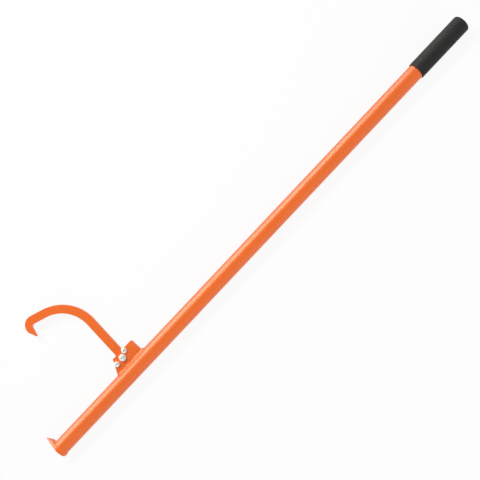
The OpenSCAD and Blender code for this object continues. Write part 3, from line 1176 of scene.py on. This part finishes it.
@dataclass
class BoltSet(SubAssembly):
    """One bolt with its two washers, lock nut and nylon ring."""

    name: str = "pivot"
    pitch: float = 0.00125
    flats: float = 0.013
    dish_depth: float = 0.0006
    # Fall of the head's top from the dish's rim to its chamfer
    dome: float = 0.0005
    bolt_chamfer: float = 0.0008
    fit: float = 0.0001
    # Nut's collar: height, round of its rim, wall beside the nylon ring, and lip over that ring
    collar: float = 0.002
    collar_round: float = 0.0008
    collar_wall: float = 0.0009
    lip: float = 0.0005
    washer_round: float = 0.00025
    # Share of the flats' width that the chamfer leaves round, and that the dish takes
    crown_share: float = 0.95
    dish_share: float = 0.55
    # Share of the dish's width that its floor has, and of the chamfer that the head's underside has
    floor_share: float = 0.9
    underside_share: float = 0.25
    # Parts of the collar's round and of a washer's, and points round each piece
    collar_parts: int = 4
    washer_parts: int = 2
    sides: int = 72
    axis: Vector = field(init=False)
    radius: float = field(init=False)

    @property
    def crown(self) -> float:
        """Radius at which the hexagon's chamfer starts."""
        return self.crown_share * self.flats / 2

    @property
    def bore(self) -> float:
        """Radius of the holes that the shank passes through."""
        return self.radius + self.fit

    def build(self) -> None:
        """Build the five pieces where the frame has them."""
        self.axis, self.radius = shank_of(self.name)
        self.build_bolt()
        self.build_ring("head_washer", BRIGHT_ZINC)
        self.build_ring("nut_washer", BRIGHT_ZINC)
        self.build_nut()
        self.build_ring("nut_insert", NATURAL_NYLON)

    def box(self, part: str) -> tuple[Vector, Vector]:
        """Lower and upper corner of a piece's box in the frame."""
        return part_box(f"{self.name}_{part}")

    def put(self, part: str, bm: BMesh, finish: Finish) -> None:
        """Move a mesh to the bolt's axis and keep it."""
        bm.transform(Matrix.Translation(self.axis))
        self.add(f"{self.name}_{part}", bm, finish, weighted=True)

    def build_bolt(self) -> None:
        """Build a dished hexagonal head, a plain shank and a threaded end."""
        low, high = self.box("bolt")
        seat = self.box("head_washer")[1].z
        top = high.z
        rim = top - self.dome
        floor = top - self.dish_depth
        half = self.flats / 2
        dish = self.dish_share * half
        thread_top = -seat
        bm = stacked([
            Ring(thread_top, 0.0),
            Ring(thread_top, self.radius),
            Ring(seat, self.radius),
            Ring(seat, self.crown),
            Ring(seat, half, Outline.HEX, self.crown, -HEX_FALL * self.underside_share),
            Ring(rim, half, Outline.HEX, self.crown, HEX_FALL),
            Ring(rim, self.crown),
            Ring(top, dish),
            Ring(floor, dish * self.floor_share),
            Ring(floor, 0.0),
        ], self.sides, joined=False)
        end = threaded(self.radius, self.pitch, low.z, thread_top, self.bolt_chamfer)
        mesh = bpy.data.meshes.new("thread")
        end.to_mesh(mesh)
        end.free()
        bm.from_mesh(mesh)
        bpy.data.meshes.remove(mesh)
        self.put("bolt", bm, BRIGHT_ZINC)

    def build_ring(self, part: str, finish: Finish) -> None:
        """Build a flat ring with its edges rounded.

        Args:
            part: The piece, whose box the ring fills.
            finish: The piece's finish.
        """
        low, high = self.box(part)
        outside = (high.x - low.x) / 2
        walls = [(low.z, self.bore), (low.z, outside), (high.z, outside), (high.z, self.bore)]
        bm = turned(walls, Z_AXIS, X_AXIS, self.sides)
        round_off(bm, sharp_edges(bm), self.washer_round, self.washer_parts)
        self.put(part, bm, finish)

    def build_nut(self) -> None:
        """Build a hexagonal nut with a round collar that is rolled over the nylon ring."""
        low, high = self.box("nut")
        height = high.z - low.z
        half = self.flats / 2
        hexagon = height - self.collar
        seat_ring = self.crown - self.collar_wall
        mouth = (seat_ring + self.bore) / 2
        rings = [
            Ring(0.0, self.bore),
            Ring(0.0, self.crown),
            Ring(0.0, half, Outline.HEX, self.crown, -HEX_FALL),
            Ring(hexagon, half, Outline.HEX, self.crown, HEX_FALL),
            Ring(hexagon, self.crown),
        ]
        shoulder = height - self.collar_round
        for step in range(self.collar_parts + 1):
            turn = step / self.collar_parts * math.pi / 2
            inward = self.collar_round * (1 - math.cos(turn))
            rings.append(Ring(shoulder + self.collar_round * math.sin(turn), self.crown - inward))
        rings += [
            Ring(height, mouth),
            Ring(height - self.lip, mouth),
            Ring(height - self.lip, seat_ring),
            Ring(hexagon, seat_ring),
            Ring(hexagon, self.bore),
        ]
        bm = stacked(rings, self.sides, joined=True)
        bm.transform(Matrix.Translation(Z_AXIS * high.z) @ HUNG_DOWN)
        self.put("nut", bm, BRIGHT_ZINC)


@dataclass(frozen=True)
class Softbox:
    """A rectangular studio light that faces the tool."""

    name: str
    place: tuple[float, float, float]
    length: float
    height: float
    watts: float
    throw: Throw
    colour: Colour = WHITE

    def light(self, target: Vector) -> None:
        """Hang the light and turn it to the tool.

        Args:
            target: The point that it faces.
        """
        lamp = bpy.data.lights.new(self.name, "AREA")
        lamp.shape = "RECTANGLE"
        lamp.size = self.length
        lamp.size_y = self.height
        lamp.energy = self.watts
        lamp.color = self.colour
        holder = bpy.data.objects.new(self.name, lamp)
        holder.visible_diffuse = self.throw is Throw.MATT
        holder.visible_glossy = self.throw is Throw.GLOSS
        holder.location = self.place
        holder.rotation_euler = (target - holder.location).to_track_quat("-Z", "Y").to_euler()
        bpy.context.scene.collection.objects.link(holder)


@dataclass(frozen=True)
class Studio:
    """Polished white floor, soft lights and a camera straight above the tool."""

    # Point of the tool's plane under the camera, and the camera's height above that plane
    centre: tuple[float, float] = (0.5748, 0.0257)
    camera_height: float = 1.5477
    view_angle: float = math.radians(35.7)
    # Turn of the picture about the line of sight
    picture_turn: float = math.radians(-46.673)
    floor_gap: float = 0.0002
    floor_size: float = 14.0
    floor_colour: Colour = (0.88, 0.88, 0.88)
    floor_roughness: float = 0.25
    floor_ior: float = 1.8
    # Share of the floor's own light and shade that shows in the white background
    shade_share: float = 0.1
    # Strength of the light from all round
    ambient: float = 0.56
    # Brightness of the grey canopy overhead, as mirrored in the tool, and the heights of a unit
    # sky between which it starts
    canopy: float = 0.45
    canopy_rim: tuple[float, float] = (0.75, 0.95)
    softboxes: tuple[Softbox, ...] = (
        Softbox("key_softbox", (0.4, 1.45, 1.45), 0.6, 0.4, 22.5, Throw.MATT),
        Softbox("fill_softbox", (0.55, -2.2, 0.75), 2.4, 0.8, 18.0, Throw.MATT),
        Softbox("warm_card", (0.36, 1.9, 0.62), 3.0, 1.7, 110.0, Throw.GLOSS, (1.0, 0.92, 0.75)),
    )

    def build(self) -> None:
        """Set up the camera, the floor, the world and the lights."""
        bpy.context.scene.view_settings.view_transform = "Standard"
        self.aim_camera()
        self.lay_floor()
        self.light_world()
        target = Vector((*self.centre, 0.0))
        for softbox in self.softboxes:
            softbox.light(target)

    def aim_camera(self) -> None:
        """Look straight down on the tool."""
        lens = bpy.data.cameras.new("camera")
        lens.sensor_fit = "HORIZONTAL"
        lens.angle = self.view_angle
        camera = bpy.data.objects.new("camera", lens)
        camera.location = (*self.centre, self.camera_height)
        camera.rotation_euler = (0.0, 0.0, self.picture_turn)
        bpy.context.scene.collection.objects.link(camera)
        bpy.context.scene.camera = camera

    def lay_floor(self) -> None:
        """Lay a white floor just under the tool."""
        bm = bmesh.new()
        bmesh.ops.create_grid(bm, x_segments=1, y_segments=1, size=self.floor_size / 2)
        height = cad_box[0].z - self.floor_gap
        bmesh.ops.translate(bm, verts=bm.verts, vec=(*self.centre, height))
        mesh = bpy.data.meshes.new("floor")
        bm.to_mesh(mesh)
        bm.free()
        floor = bpy.data.objects.new("floor", mesh)
        bpy.context.scene.collection.objects.link(floor)
        mesh.materials.append(self.floor_material())

    @staticmethod
    def seen_directly(sketch: NodeSketch) -> NodeSocket:
        """Mask the rays that show the background: straight, mirrored or through glass.

        Args:
            sketch: The sketch that gets the mask's nodes.

        Returns:
            The mask.
        """
        path = sketch.add("LightPath").outputs
        shown = sketch.maths("MAXIMUM", path["Is Camera Ray"], path["Is Glossy Ray"])
        return sketch.maths("MAXIMUM", shown, path["Is Transmission Ray"])

    def floor_material(self) -> Material:
        """White from above, with a share of its own shade and a polish, and clear from below.

        Returns:
            The material.
        """
        made = bpy.data.materials.new("white_floor")
        sketch = NodeSketch.start(made)
        matt = sketch.add("BsdfDiffuse", Color=self.floor_colour).outputs["BSDF"]
        white = sketch.add("Emission", Color=WHITE, Strength=1.0).outputs["Emission"]
        seen = self.seen_directly(sketch)
        plain = sketch.blend(sketch.maths("MULTIPLY", seen, 1 - self.shade_share), matt, white)
        mirror = sketch.add("BsdfAnisotropic", Color=WHITE, Roughness=self.floor_roughness)
        fresnel = sketch.add("Fresnel", IOR=self.floor_ior).outputs["Fac"]
        facing = ((self.floor_ior - 1) / (self.floor_ior + 1)) ** 2
        polish = sketch.maths("MULTIPLY", seen, sketch.cut(fresnel, facing, 1.0))
        polished = sketch.blend(polish, plain, mirror.outputs["BSDF"])
        below = sketch.add("NewGeometry").outputs["Backfacing"]
        clear = sketch.add("BsdfTransparent").outputs["BSDF"]
        sketch.add("OutputMaterial", Surface=sketch.blend(below, polished, clear))
        return made

    def light_world(self) -> None:
        """Even light from all round, white where it is seen."""
        world = bpy.data.worlds.new("studio")
        sketch = NodeSketch.start(world)
        way = sketch.add("TexCoord").outputs["Generated"]
        height = sketch.add("SeparateXYZ", Vector=way).outputs["Z"]
        shown = sketch.spread(sketch.cut(height, *self.canopy_rim), 1.0, self.canopy)
        strength = sketch.spread(self.seen_directly(sketch), self.ambient, shown)
        sky = sketch.add("Background", Color=WHITE, Strength=strength)
        sketch.add("OutputWorld", Surface=sky.outputs["Background"])
        bpy.context.scene.world = world


def main() -> None:
    """Build and dress the tool, then set up the studio."""
    groups = SurfaceGroups()
    stop_sizes = {"pitch": 0.001, "flats": 0.010}
    bolts = [BoltSet(name="pivot")]
    bolts += [BoltSet(name=name, **stop_sizes) for name in ("open_stop", "closed_stop")]
    for part in (Handle(), Toe(), Bracket(), Hook(), *bolts):
        part.build()
        part.dress(groups)
        for node, piece in part.pieces.items():
            log.info("%s: %s, %d faces", node, part.finishes[node].name, len(piece.data.polygons))
    Studio().build()


if __name__ == "__main__":
    main()
